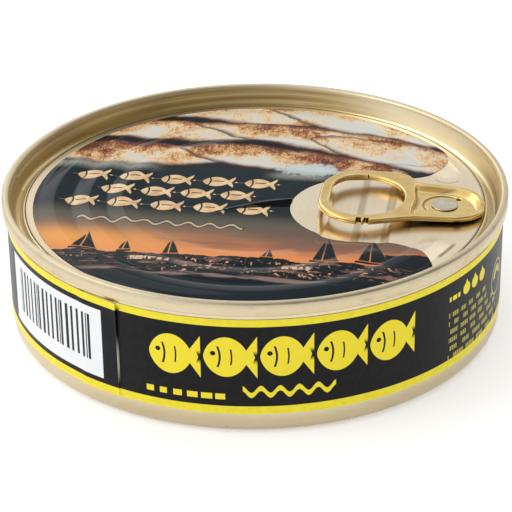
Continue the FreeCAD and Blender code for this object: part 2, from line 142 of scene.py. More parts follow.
class Tone:
    """One shader socket.  Each operator adds a Math node; the loop below the class gives it
    + - * / ** with their reflected forms.  Every other node comes from node()."""

    def __init__(self, tree, socket=None):
        self.tree = tree
        self.socket = socket

    def node(self, kind, settings=None, sockets=None, output=0):
        made = self.tree.nodes.new(kind)
        for name, value in (settings or {}).items():
            setattr(made, name, value)
        for name, value in (sockets or {}).items():
            if isinstance(value, Tone):
                self.tree.links.new(value.socket, made.inputs[name])
            else:
                made.inputs[name].default_value = value
        return Tone(self.tree, made.outputs[output] if made.outputs else None)

    def math(self, operation, *values):
        return self.node("ShaderNodeMath", {"operation": operation}, dict(enumerate(values)))

    def __abs__(self):
        return self.math("ABSOLUTE", self)

    def __gt__(self, other):
        return self.math("GREATER_THAN", self, other)

    def least(self, other):
        return self.math("MINIMUM", self, other)

    def most(self, other):
        return self.math("MAXIMUM", self, other)

    def root(self):
        return self.math("SQRT", self)

    def squares(self, other):
        """Sum of the squares of this tone and another."""
        return self * self + other * other

    def span(self, other):
        """Distance from the origin of the place (self, other)."""
        return self.squares(other).root()

    def sine(self):
        return self.math("SINE", self)

    def fract(self):
        return self.math("FRACT", self)

    def floor(self):
        return self.math("FLOOR", self)

    def bearing(self, across):
        """Angle in degrees of the place (across, self)."""
        return self.math("ARCTAN2", self, across) * DEGREES

    def part(self, axis):
        return self.node("ShaderNodeSeparateXYZ", None, {0: self}, axis)

    def vector(self, operation, other, output=0):
        return self.node("ShaderNodeVectorMath", {"operation": operation}, {0: self, 1: other}, output)

    def ease(self, low, high):
        """Smooth step: 0 at low, 1 at high, with level ends."""
        settings = {"interpolation_type": "SMOOTHSTEP"}
        return self.node("ShaderNodeMapRange", settings, {0: self, 1: low, 2: high})

    def between(self, low, high, soft):
        """1 between two limits, eased over +-soft at each."""
        return self.ease(low - soft, low + soft) * self.ease(high + soft, high - soft)

    def over(self, under, colour):
        """Colour laid over another with this tone as its cover."""
        settings = {"data_type": "RGBA"}
        return self.node("ShaderNodeMix", settings, {0: self, 6: under, 7: colour}, 2)

    def coat(self, cover, *colour):
        """This tone with a colour, in screen values, laid over it where cover is above 0."""
        return cover.over(self, paint(*colour))

    def grain(self, scale, detail=2.0, stretch=(1, 1, 1)):
        """Noise of about 1 / scale millimetres, 0..1, from this place; stretch packs it along an axis."""
        place = self.vector("MULTIPLY", stretch)
        return self.node("ShaderNodeTexNoise", None, {"Vector": place, "Scale": scale, "Detail": detail})

    def joined(self, across, up):
        """Place made of this tone and two more."""
        return self.node("ShaderNodeCombineXYZ", None, {0: self, 1: across, 2: up})


for sign, operation in (("add", "ADD"), ("sub", "SUBTRACT"), ("mul", "MULTIPLY"),
                        ("truediv", "DIVIDE"), ("pow", "POWER")):
    setattr(Tone, f"__{sign}__", lambda self, other, done=operation: self.math(done, self, other))
    setattr(Tone, f"__r{sign}__", lambda self, other, done=operation: self.math(done, other, self))


def new_finish(name, **constants):
    """Material with one Principled shader.  Gives the material, the shader's node, and the place on
    the piece in millimetres."""
    material = bpy.data.materials.new(name)
    material.use_nodes = True
    tree = material.node_tree
    tree.nodes.clear()
    shader = tree.nodes.new("ShaderNodeBsdfPrincipled")
    output = tree.nodes.new("ShaderNodeOutputMaterial")
    tree.links.new(shader.outputs[0], output.inputs[0])
    for key, value in constants.items():
        shader.inputs[key.replace("_", " ")].default_value = value
    place = Tone(tree).node("ShaderNodeTexCoord", output="Object")
    place = place.node("ShaderNodeVectorMath", {"operation": "SCALE"}, {0: place, "Scale": 1000})
    return material, shader, place


def lay_on(shader, colour, roughness=None, height=None, depth=0.1):
    """Leads tones to the shader; height in millimetres bends the normal through a Bump node."""
    links = shader.id_data.links
    links.new(colour.socket, shader.inputs["Base Color"])
    if roughness:
        links.new(roughness.socket, shader.inputs["Roughness"])
    if height:
        sockets = {"Height": height, "Distance": 0.001, "Strength": depth}
        bump = height.node("ShaderNodeBump", None, sockets)
        links.new(bump.socket, shader.inputs["Normal"])


def lacquered_steel(name, colour, dark, light, roughness, brush):
    """Satin lacquer over tinplate: fine lines along Y of a given strength, a cloudy tone and a
    little orange peel."""
    material, shader, place = new_finish(name, Metallic=1.0)
    lines = place.grain(0.35, 4.0, (9.0, 0.12, 1.0))
    cloud = place.grain(0.07, 2.0)
    tone = cloud.ease(0.3, 0.7).over(paint(*dark), paint(*colour))
    tone = tone.coat(lines.ease(0.35, 0.7) * brush, *light)
    rough = roughness + (lines - 0.5) * brush * 0.15 + (cloud - 0.5) * 0.05
    height = lines * brush + place.grain(2.2, 2.0) * 0.4
    lay_on(shader, tone, rough, height, depth=0.010)
    return material, shader, place, tone


def wall_finish():
    """Drawn wall: faint upright draw marks, a foot darkened by painted shade, scuffs at the foot and one
    glue stain.
    """
    material, shader, place = new_finish("beige_can_lacquer", Metallic=1.0)
    angle = place.part(1).bearing(place.part(0))
    height = place.part(2)
    draw = angle.joined(height * 0.06, 0.0).grain(1.4, 3.0)
    cloud = place.grain(0.12, 3.0)
    tone = cloud.ease(0.3, 0.7).over(paint(208, 195, 166), paint(*CAN_BEIGE))
    tone = tone.coat(draw.ease(0.5, 0.8) * 0.35, 224, 213, 190)
    # painted shade: the foot darker, weaker towards -X
    front = place.part(0).ease(-40.0, -15.0)
    tone = tone.coat(height.ease(5.0, 2.6) * (front * 0.6 + 0.1), 190, 173, 140)
    scuff = place.grain(0.9, 5.0).ease(0.6, 0.72) * height.ease(2.6, 0.4)
    tone = tone.coat(scuff * 0.5, 150, 132, 104)
    spot = (angle - STAIN[0]) * 0.62
    drop = (height - STAIN[1]) * 1.6
    stain = (spot.squares(drop) + place.grain(1.5, 3.0) * 1.5).ease(2.2, 0.9)
    tone = tone.coat(stain * 0.8, 150, 104, 56)
    rough = 0.30 + (draw - 0.5) * 0.12 + scuff * 0.15
    lay_on(shader, tone, rough, draw * 0.4 + place.grain(2.0, 2.0) * 0.3, depth=0.015)
    return material


foot = BODY_RADIUS - FOOT_ROUND - FOOT_WIDTH
recess = foot - BOTTOM_STEP
bead_in, bead_crest, bead_out, bead_deep = BOTTOM_BEAD
can_line = profile([
    (0, BOTTOM_RECESS, 0),
    (bead_in, BOTTOM_RECESS, 3.0),
    (bead_crest, BOTTOM_RECESS - bead_deep, 3.0),
    (bead_out, BOTTOM_RECESS, 3.0),
    (recess, BOTTOM_RECESS, 0.8),
    (foot, 0, 0.8),
    (BODY_RADIUS, 0, FOOT_ROUND),
    (BODY_RADIUS, RIM_HEIGHT - SEAM_LENGTH + 0.6, 0),
], steps=10)
put_in("tin_body", "can_body", wall_finish(), [(turned(can_line, 360), True)])

# ---- paper label -----------------------------------------------------------------
# Coated paper strip glued round the wall.  The free edge of its overlap lifts a little at the top.
# The print is black with yellow borders, a row of fish, small marks and a plain white field.
PAPER = 0.15
LABEL_LOW = 4.4
LABEL_HIGH = 24.6
FREE_EDGE = -112.6                        # angle where the overlap's outer layer ends
OVERLAP = 9.0                             # degrees
ARC = math.radians(1) * (BODY_RADIUS + PAPER)   # millimetres of label per degree
YELLOW = (246, 231, 60)
INK = (17, 17, 19)
WHITE = (240, 243, 246)
FISH_ROW = (10.6, 5, 15.9)                # pitch, count and height of the row of stout fish
FIELD = (-152.2, -116.7, 7.2, 22.0)       # white field: angles of its ends, heights of its edges
BLACK = (6.15, 23.1)                      # heights of the black ground's edges
SMALL_LINE = 15.9                         # height of the upper row of small dashes


def limit(value):
    """Value held between 0 and 1."""
    return np.clip(value, 0, 1)


def smooth(value):
    """Smooth step of a value held between 0 and 1: v^2 (3 - 2 v)."""
    v = limit(value)
    return v * v * (3 - 2 * v)


def label_band():
    """Section of the strip, a slab with eased edges, carried round the wall from the free edge:
    radius = wall + layer, where layer falls smoothly from one paper thickness to none just past
    the overlap; near the free edge the top lifts by lift(angle) * lift(height)."""
    end = 360 + OVERLAP
    turn = np.concatenate([[0.0], np.linspace(0, 14, 57), np.linspace(14, end, 356)[1:], [end]])
    layer = smooth((OVERLAP + 2.5 - turn) / 2.5) * (PAPER + 0.02)
    edge = 0.04
    low, high = LABEL_LOW + edge, LABEL_HIGH - edge
    height = np.concatenate([[low, low - edge * 0.7, low - edge], np.linspace(low, high, 25),
                             [high + edge, high + edge * 0.7, high, high, low]])
    depth = np.concatenate([[0.0, 0.02, 0.05], np.full(25, PAPER), [0.05, 0.02, 0.0, 0.0, 0.0]])
    lift = np.exp(-turn / 1.6)[:, None] * limit((height - 12) / 12) ** 2 * 0.42
    depth = np.repeat(depth[None], len(turn), 0)
    depth[[0, -1]] = PAPER / 2
    turn[[0, -1]] = turn[[1, -2]] + (-0.01, 0.01)
    radius = BODY_RADIUS + 0.005 + layer[:, None] + depth + lift
    angle = np.radians(FREE_EDGE - turn)[:, None]
    return np.stack([radius * np.cos(angle), radius * np.sin(angle), height + 0 * angle], -1)


def label_print():
    """Black ink on coated paper, worked out from angle and height on the wall."""
    material, shader, place = new_finish("label_print", IOR=1.24)
    across, away, height = place.part(0), place.part(1), place.part(2)
    angle = away.bearing(across)
    along = angle * ARC
    wobble = (place.grain(0.12, 2.0) - 0.5) * 0.12
    soft = 0.05

    def spot(centre, level, size):
        """Round dot at a place on the strip."""
        reach = (along - centre).squares(height - level)
        return reach.ease((size + soft) ** 2, (size - soft) ** 2)

    def fish_row(first, pitch, count, level):
        """Stout fish one behind another, heads left: body |t| < 4.2 (1 - (s/4.2)^2)^0.62, tail a
        wedge that widens from its root, one eye and two gill arcs left black."""
        s = along - first
        number = (s / pitch).floor()
        s = s - (number + 0.5) * pitch
        turn = (number - (count - 1) / 2) * 0.55
        t = height - level - turn.math("COSINE", turn) * 0.9
        body = (1 - (s + 0.9) * (s + 0.9) / 17.6).most(0.0) ** 0.62 * 4.2
        inside = (body - abs(t)).ease(-soft, soft) * (s + 0.9).between(-4.2, 4.2, soft)
        tail = (0.6 + (s - 2.3) * 1.45 - abs(t)).ease(-soft, soft) * s.between(2.5, 4.95, soft)
        notch = (s - 4.0 + abs(t) * 0.35).ease(0.5, 0.6)
        mark = inside.most(tail * (1 - notch * (1 - abs(t).ease(0.4, 1.6))))
        eye = (s + 3.3).squares(t - 0.7).ease(0.3, 0.2)
        bow = s + 2.0 + t * t * 0.09
        gill = abs(bow).ease(0.26, 0.16) * abs(t).ease(2.3, 2.1)
        back = s - 0.2 + t * t * 0.06
        rib = abs(back).ease(0.2, 0.12) * abs(t).ease(1.8, 1.6)
        shown = (along - first).between(0.0, pitch * count, 0.02)
        return mark * (1 - eye) * (1 - gill) * (1 - rib) * shown

    def dashes(left, right, level, tall, pitch, shift, fine=0.0):
        """Row of short dashes of uneven length in one line, each cut into upright strokes where
        fine is above 0."""
        s = (along + shift) / pitch
        cell = s.floor()
        uneven = (cell * 7.31 + shift).sine() * 0.14 + 0.66
        inked = (s - cell).ease(uneven + 0.03, uneven - 0.03)
        if fine > 0:
            inked = inked * (1 - (along / 0.62).fract().ease(0.52, 0.62) * fine)
        inked = inked * along.between(left, right, 0.05)
        return inked * height.between(level - tall, level + tall, 0.05)

    def wave_line(left, right):
        """Sine line 1.5 high and about 1.1 thick between two places on the strip."""
        off = abs(height - 9.3 - (along * 1.75).sine() * 0.75)
        return off.ease(0.62, 0.5) * along.between(left, right, 0.1)

    # white field with plain even bars
    field = angle.between(FIELD[0], FIELD[1], 0.06) * (height + wobble).between(FIELD[2], FIELD[3], soft)
    bar = (along / 1.56).fract().ease(0.42, 0.38)
    thin = (along / 2.6).fract().ease(0.13, 0.10)
    bars = bar.most(thin) * angle.between(-148.5, -119.5, 0.05) * height.between(10.4, 20.2, soft)
    # yellow marks
    gold = fish_row(-92.4, *FISH_ROW).most(fish_row(66.0, *FISH_ROW))
    gold = gold.most(wave_line(-74.3, -56.7)).most(wave_line(84.0, 102.0))
    gold = gold.most(dashes(-93.6, -77.6, 8.15, 0.62, 2.7, 1.2))
    for centre in (-24.6, -21.4, -18.2):
        gold = gold.most(spot(centre, 19.7, 1.25))
        tip = (1.0 - (height - 19.9) * 0.55 - abs(along - centre)).ease(-soft, soft)
        gold = gold.most(tip * height.between(19.9, 21.8, soft))
    gold = gold.most(dashes(-30.3, -26.9, 19.4, 0.5, 1.7, 0.4))
    # pale small lines and the ring mark
    pale = dashes(-30.3, -16.0, SMALL_LINE, 0.50, 2.9, 0.3, 0.85)
    for step, right in ((1, -15.4), (2, -11.0), (3, -9.5), (4, -8.6), (5, -10.2)):
        level = SMALL_LINE - 1.85 * step
        pale = pale.most(dashes(-30.3, right, level, 0.50, 2.7 + 0.35 * step, 1.3 * step, 0.85))
    ring = (along + 8.6).span(height - 14.65)
    pale = pale.most(abs(ring - 3.6).ease(0.24, 0.13))
    pale = pale.most(abs(ring - 1.9).ease(0.75, 0.65) * (height > 14.8))
    # layers
    fleck = place.grain(0.8, 4.0)
    black = fleck.ease(0.3, 0.75).over(paint(*INK), paint(25, 25, 28))
    tone = gold.over(black, paint(246, 226, 58))
    tone = tone.coat(pale, 196, 186, 84)
    tone = tone.coat(field, *WHITE)
    tone = tone.coat(bars * field, 38, 38, 42)
    border = 1 - (height + wobble).between(*BLACK, soft)
    yellow = fleck.ease(0.35, 0.7).over(paint(*YELLOW), paint(240, 222, 58))
    tone = border.over(tone, yellow)
    # bare paper along the free edge and on the cut edges
    cut_edge = abs(angle - FREE_EDGE).ease(0.24, 0.10) * height.between(9.0, 15.5, 2.5)
    rim = 1 - height.between(LABEL_LOW + 0.07, LABEL_HIGH - 0.07, 0.03)
    worn = cut_edge.most(rim * place.grain(0.7, 3.0).ease(0.45, 0.6))
    # painted shadow beside the lifted free edge
    shade = (angle - FREE_EDGE).between(-0.05, 0.75, 0.12) * height.between(LABEL_LOW + 1.9, 23.6, 0.5)
    tone = tone.coat(shade * 0.8, 6, 6, 7)
    tone = tone.coat(worn * 0.8, 226, 222, 210)
    # gloss: ink is smoother than the bare paper, with light scuffs
    scuff = place.grain(0.5, 5.0, (1, 1, 0.4)).ease(0.58, 0.75)
    rough = 0.34 + worn * 0.3 + scuff * 0.14 + gold * 0.04
    bump = place.grain(3.0, 3.0) * 0.4 + place.grain(0.15, 2.0)
    lay_on(shader, tone, rough, bump, depth=0.02)
    return material


put_in("paper_label", "side_label", label_print(), [(label_band(), False)], crease=50)

# ---- lid rim ---------------------------------------------------------------------
# The end is one stamped steel sheet.  Its edge is rolled with the can into the double seam; inside
# it a sloping chuck wall drops to a groove.  The tear line is pressed round the panel's border.
SEAM_RADIUS = 51.15
SEAM_THICKNESS = 1.35
PANEL_HEIGHT = 24.8
PANEL_RADIUS = 46.1
LID_GOLD = (214, 200, 170)
LID_SHADED_BORDER = (184, 168, 138)                # painted shade on the lid's border on the side away from the nose


def rim_finish():
    """Lid lacquer on the rim: painted shade greys the seam's outer face, and a painted reflection
    colours the chuck wall, with a painted highlight on its lit side; painted shade darkens the
    border on the side away from the nose and the tear line, and a painted highlight lies in the groove."""
    material, shader, place, tone = lacquered_steel(
        "beige_rim_lacquer", LID_GOLD, (208, 191, 157), (236, 223, 196), 0.20, 0.10)
    x, y, z = place.part(0), place.part(1), place.part(2)
    radius = x.span(y)
    # painted shade: a greyer tone on the seam's upright outer face
    seam_face_shade = radius.ease(50.0, 50.9) * z.ease(27.0, 27.9)
    tone = tone.coat(seam_face_shade * 0.85, 194, 183, 156)
    # painted reflection down the chuck wall: gold-brown, lighter towards its top, with light and dark
    # streaks, and a painted highlight on its lit side
    chuck = radius.between(47.0, 49.9, 0.25) * z.ease(28.3, 27.3)
    lit = x.ease(6.0, 30.0) * y.ease(10.0, 30.0)
    drawn = (y.bearing(x) * (0.9 / DEGREES)).joined(z, radius * 0.3).grain(1.15, 3.0)
    low = x.ease(30.0, 46.0).over(paint(190, 163, 100), paint(184, 168, 126))
    wall = z.ease(25.4, 27.6).over(low, paint(202, 181, 126))
    wall = wall.coat(drawn.ease(0.50, 0.64) * 0.7, 232, 216, 176)
    wall = wall.coat(drawn.ease(0.46, 0.32) * 0.6, 140, 114, 62)
    tone = (chuck * 0.85).over(tone, lit.over(wall, paint(252, 242, 214)))
    # painted shade on the border on the side away from the nose
    tone = tone.coat(radius.between(44.8, 47.0, 0.3) * x.ease(6.0, -36.0) * 0.8, *LID_SHADED_BORDER)
    # painted shade darkens the tear line
    line = abs(radius - 46.55).ease(0.17, 0.10) * (z > 24.0)
    tone = tone.coat(line * 0.9, 70, 54, 34)
    # painted highlight in the groove below the panel's edge
    groove = radius.between(46.75, 47.5, 0.1) * z.ease(24.8, 24.6)
    tone = tone.coat(groove * 0.85, 252, 244, 222)
    smudge = place.grain(0.22, 4.0, (1, 1, 2)).ease(0.52, 0.70) * radius.ease(50.3, 50.9)
    tone = tone.coat(smudge * 0.45, 168, 152, 120)
    satin = chuck * 0.16 + radius.ease(49.5, 49.9) * 0.20 + groove * 0.20
    lay_on(shader, tone, 0.20 + satin + place.grain(0.3, 3.0) * 0.06)
    return material


rim_line = profile([
    (BODY_RADIUS - 0.6, RIM_HEIGHT - SEAM_LENGTH + 0.35, 0),
    (BODY_RADIUS + 0.35, RIM_HEIGHT - SEAM_LENGTH + 0.1, 0.25),
    (SEAM_RADIUS - 0.06, RIM_HEIGHT - SEAM_LENGTH, 0.42),
    (SEAM_RADIUS - 0.01, RIM_HEIGHT - SEAM_LENGTH + 1.35, 3.0),
    (SEAM_RADIUS, RIM_HEIGHT, 0.62),
    (SEAM_RADIUS - SEAM_THICKNESS, RIM_HEIGHT, 0.60),
    (48.75, 23.6, 0.8),
    (47.25, 23.6, 0.6),
    (47.1, PANEL_HEIGHT, 0.35),
    (46.68, PANEL_HEIGHT, 0.05),
    (46.55, PANEL_HEIGHT - 0.11, 0.04),
    (46.42, PANEL_HEIGHT, 0.05),
    (45.8, PANEL_HEIGHT - 0.01, 0),
], steps=9, longest=0.6)
put_in("seamed_rim", "lid", rim_finish(), [(turned(rim_line, 512), True)])

# ---- lid panel -------------------------------------------------------------------
# Flat middle of the same sheet, stiffened by three C-shaped beads.  A shallow finger well is
# pressed in under the ring, and a low boss carries the rivet.
BEADS = ((40.8, 20.0), (33.6, 36.0), (26.8, 62.0))   # crest radius, half angle of the gap
BEAD_INNER_WIDTH = 3.0
BEAD_OUTER_WIDTH = 3.2
BEAD_HEIGHT = 0.45
BOSS_X = 38.4
BOSS_RADIUS = 5.7
BOSS_HEIGHT = 0.1
WELL_X = (14.4, 15.5, 21.3, 22.5, 27.2, 28.4)
WELL_DEPTH = (0.0, 0.50, 0.45, 0.34, 0.31, 0.0)
WELL_HALF_LENGTH = 19.0
BEAD_END = (38.2, 14.2, 2.6)              # round end of the outer bead, edged with painted shade: centre and radius


def panel_height(x, y):
    """Height of the sheet's top.  Each bead adds 0.45 (1 - 0.88 u^1.2 - 0.12 u^8), where u grows
    from 0 on its crest line to 1 at its inner foot, 3.0 away, and at its outer foot, 3.2 away; it
    fades out over 7 degrees at either end.  The boss adds 0.1, and the well takes away its stepped
    section times its end slopes."""
    radius, angle = np.hypot(x, y), np.degrees(np.arctan2(y, x))
    height = np.full(np.shape(x), PANEL_HEIGHT)
    for crest, gap in BEADS:
        u = limit((radius - crest) / np.where(radius > crest, BEAD_OUTER_WIDTH, -BEAD_INNER_WIDTH))
        ridge = 1 - 0.88 * u ** 1.2 - 0.12 * u ** 8
        height = height + BEAD_HEIGHT * ridge * smooth((abs(angle) - gap + 1.5) / 7.0)
    height = height + BOSS_HEIGHT * smooth((BOSS_RADIUS - np.hypot(x - BOSS_X, y)) / 0.5)
    return height - smooth((WELL_HALF_LENGTH - abs(y)) / 2.5) * np.interp(x, fine_x, fine_depth)


def softened(line_x, line_y, spread):
    """Broken line made smooth: its running mean over +-spread, twice."""
    x = np.arange(line_x[0] - 2, line_x[-1] + 2, 0.02)
    y = np.interp(x, line_x, line_y)
    window = np.ones(int(2 * spread / 0.02) + 1)
    window = window / window.sum()
    return x, np.convolve(np.convolve(y, window, "same"), window, "same")


fine_x, fine_depth = softened(WELL_X, WELL_DEPTH, 0.25)


def panel_grid():
    """Disc swept by upright chords: column x = u, point y = v sqrt(R^2 - u^2), with the columns
    packed where the well and the boss are."""
    near, far = np.arccos(0.25), np.arccos(0.64)
    u = np.concatenate([np.cos(np.linspace(np.pi, near, 120)), np.linspace(0.25, 0.64, 150)[1:],
                        np.cos(np.linspace(far, 0, 75))[1:]])
    v = np.linspace(-1, 1, 261)
    x = PANEL_RADIUS * u[:, None] + 0 * v
    y = np.sqrt(np.maximum(PANEL_RADIUS ** 2 - x ** 2, 0)) * v
    return np.stack([x, y, panel_height(x, y)], -1)


panel_steel, panel_shader, panel_place, panel_tone = lacquered_steel(
    "beige_panel_lacquer", (246, 231, 202), (238, 222, 192), (254, 244, 224), 0.24, 0.16)
across, along = panel_place.part(0), panel_place.part(1)
reach = across.span(along)
# painted shade on the border on the side away from the nose
border = reach.ease(44.6, 45.2) * across.ease(6.0, -36.0)
side = along.bearing(across)
# painted shade along the outer foot of the outer bead near its lower end and round its upper end
bead_foot_shade = abs(reach - 44.2).ease(0.55, 0.20) * side.between(-29.0, -20.5, 1.2)
panel_tone = panel_tone.coat(border * 0.8, *LID_SHADED_BORDER)
bend_x, bend_y = across - BEAD_END[0], along - BEAD_END[1]
bend = bend_x.span(bend_y)
bead_foot_shade = bead_foot_shade.most(abs(bend - BEAD_END[2]).ease(0.34, 0.10) * bend_y.ease(-0.6, -1.8) * 0.5)
in_well = along.between(2.0 - WELL_HALF_LENGTH, WELL_HALF_LENGTH - 2.0, 1.2)
# painted shade on the steps of the finger well
steps = across.between(21.2, 22.6, 0.35) * 0.75
steps = steps.most(across.between(27.0, 28.6, 0.35)).most(across.between(14.6, 15.4, 0.35) * 0.6) * in_well
panel_tone = panel_tone.coat(steps * 0.75, 160, 142, 98)
lay_on(panel_shader, (bead_foot_shade * 0.8).over(panel_tone, paint(150, 128, 76)))
put_in("lid_panel", "lid", panel_steel, [(panel_grid()[::-1], False)])

# ---- printed film ----------------------------------------------------------------
# Thin glossy plastic film glued on the panel, cut out round the tab.  It follows the beads, and a
# crease runs from the edge of its cut-out.  The print shows smoked sprats, dark bands with rows of
# small golden fish, and a dusk shore over dark water.
FILM = 0.1
FILM_CENTRE = (0.35, -0.35)
FILM_RADIUS = 45.3
FILM_COLUMNS = 700
FILM_ROWS = 112
KEYHOLE = (21.8, -2.1, 14.2)              # centre and radius of the cut-out round the ring
UPPER_HORN = (28.7, 22.05, 9.2)
LOWER_HORN = (27.3, -27.2, 10.7)
PRINT_OFF = (0.45, -3.0)                  # the print sits a little off the tin's centre
BOATS = (                                 # mast, waterline, height, width, lean
    (-31.0, -23.0, 7.0, 3.0, 0.03), (-22.6, -23.2, 4.4, 1.5, 0.02), (-13.6, -23.4, 5.6, 2.0, -0.02),
    (5.4, -23.2, 4.4, 1.4, 0.04), (16.2, -22.6, 10.2, 3.0, 0.02), (25.4, -22.4, 10.0, 3.6, -0.03),
)
ROWS = ((9.4, -39.6, 4.2, 5), (3.4, -33.2, -0.2, 4), (-2.8, -39.8, 4.4, 5))    # level, ends, count
ROW_FISH = 4.3
SPRATS = (                                # middle, tilt, half length, half height, flare, paleness
    ((-12.0, 44.8), -6.0, 26.0, 5.6, 0.05, 0.14),
    ((22.0, 40.2), -16.0, 26.0, 6.0, 0.10, 0.24),
    ((-25.0, 33.4), -3.0, 24.0, 5.2, -0.20, 0.00),
    ((8.0, 32.4), -11.0, 27.0, 5.6, 0.20, 0.08),
    ((29.0, 25.6), -18.0, 23.0, 5.8, 0.10, 0.12),
    ((-27.0, 21.0), 1.0, 21.0, 5.6, -0.15, 0.02),
    ((5.0, 21.2), -8.0, 25.0, 5.4, -0.10, 0.04),
)
SKIN = ((-0.50, -0.18, (224, 198, 158)), (-0.22, 0.06, (204, 158, 106)), (0.02, 0.28, (150, 94, 62)),
        (0.26, 0.52, (98, 56, 48)))        # from, to, colour of the sprats' skin over its silver
CREASE_RISE = 0.35
CREASE = ((7.6, -0.3), (5.0, -0.8), (2.5, -1.8), (0.0, -3.1), (-3.0, -5.2), (-6.5, -7.7), (-11.0, -10.9))


def arc_line(centre, radius, start, end, count):
    """Points of an arc between two angles in degrees."""
    angle = np.radians(np.linspace(start, end, count))
    return np.stack([centre[0] + radius * np.cos(angle), centre[1] + radius * np.sin(angle)], -1)


def touching(hole, horn, side):
    """Angles, on the hole and on the horn, of the straight line that touches both circles and
    crosses between them."""
    gap_x, gap_y = horn[0] - hole[0], horn[1] - hole[1]
    heading = math.degrees(math.atan2(gap_y, gap_x))
    lean = math.degrees(math.acos((hole[2] + horn[2]) / math.hypot(gap_x, gap_y))) * side
    return heading + lean, heading + lean + 180


def evened(line, count):
    """The same line with points at even distances along it."""
    run = np.concatenate([[0], np.cumsum(np.hypot(*np.diff(line, axis=0).T))])
    at = np.linspace(0, run[-1], count)
    return np.stack([np.interp(at, run, line[:, 0]), np.interp(at, run, line[:, 1])], -1)


def film_outline(count):
    """Two lines with shared ends: round the cut-out from horn tip to horn tip, and round the outer
    edge between the same tips."""
    up_x, up_y = UPPER_HORN[0] - FILM_CENTRE[0], UPPER_HORN[1] - FILM_CENTRE[1]
    top = math.degrees(math.atan2(up_y, up_x))
    on_hole_1, on_horn_1 = touching(KEYHOLE, UPPER_HORN, 1)
    on_hole_2, on_horn_2 = touching(KEYHOLE, LOWER_HORN, -1)
    tip = -20.0
    turn = np.linspace(0, 90, 9001)
    reach = arc_line(LOWER_HORN[:2], LOWER_HORN[2], 0, 90, 9001) - FILM_CENTRE
    low = turn[np.argmin(abs(np.hypot(reach[:, 0], reach[:, 1]) - FILM_RADIUS))]
    corner = arc_line(LOWER_HORN[:2], LOWER_HORN[2], low, low, 1)[0] - FILM_CENTRE
    corner_angle = math.degrees(math.atan2(corner[1], corner[0])) + 360
    inner = np.concatenate([
        arc_line(UPPER_HORN[:2], UPPER_HORN[2], tip, on_horn_1 - 360, 120),
        arc_line(KEYHOLE[:2], KEYHOLE[2], on_hole_1, on_hole_2 + 360, 500),
        arc_line(LOWER_HORN[:2], LOWER_HORN[2], on_horn_2, low, 120),
    ])
    outer = np.concatenate([
        arc_line(UPPER_HORN[:2], UPPER_HORN[2], tip, top, 80),
        arc_line(FILM_CENTRE, FILM_RADIUS, top, corner_angle, 2000),
    ])
    return evened(inner, count), evened(outer, count)


def crease_height(x, y):
    """Ridge along the crease: 0.35 mm high at the cut-out and 0 at its far end, short on the far
    side and a longer slope on the near side."""
    line = evened(np.array(CREASE), 400)
    share = np.linspace(0, 1, 400)
    rise = np.zeros(np.shape(x))
    near = (x > -16) & (x < 10) & (y < 6) & (y > -16)
    px, py = x[near], y[near]
    gap = np.hypot(px[:, None] - line[:, 0], py[:, None] - line[:, 1])
    at = gap.argmin(1)
    ahead = np.gradient(line, axis=0)
    side = (px - line[at, 0]) * -ahead[at, 1] + (py - line[at, 1]) * ahead[at, 0]
    off = gap.min(1) * np.sign(side)
    fade = 1 - share[at]
    wide = np.where(off > 0, 0.9 + 2.4 * fade, 0.3 + 0.5 * fade)
    rise[near] = CREASE_RISE * fade * limit(1 - abs(off) / wide) ** 1.2
    return rise


def film_grid():
    """Ruled sheet between the cut-out's line P(s) and the outer line Q(s): P + (Q - P) t, at panel
    height plus the film, with a rounded edge and a plain underside."""
    inner, outer = film_outline(FILM_COLUMNS)
    t = np.concatenate([[0, 0, 0.0012, 0.003], np.linspace(0.006, 0.994, FILM_ROWS), [0.997, 0.9988, 1, 1]])
    drop = np.concatenate([[FILM, 0.05, 0.012, 0.003], np.zeros(FILM_ROWS), [0.003, 0.012, 0.05, FILM]])
    flat = inner[:, None] * (1 - t[:, None]) + outer[:, None] * t[:, None]
    x, y = flat[..., 0], flat[..., 1]
    height = panel_height(x, y) + FILM + 0.01 + crease_height(x, y) * (drop < FILM) - drop
    top = np.stack([x, y, height], -1)
    under = np.concatenate([(inner + outer) / 2, np.full((FILM_COLUMNS, 1), PANEL_HEIGHT)], 1)
    return np.concatenate([top, under[:, None]], 1)


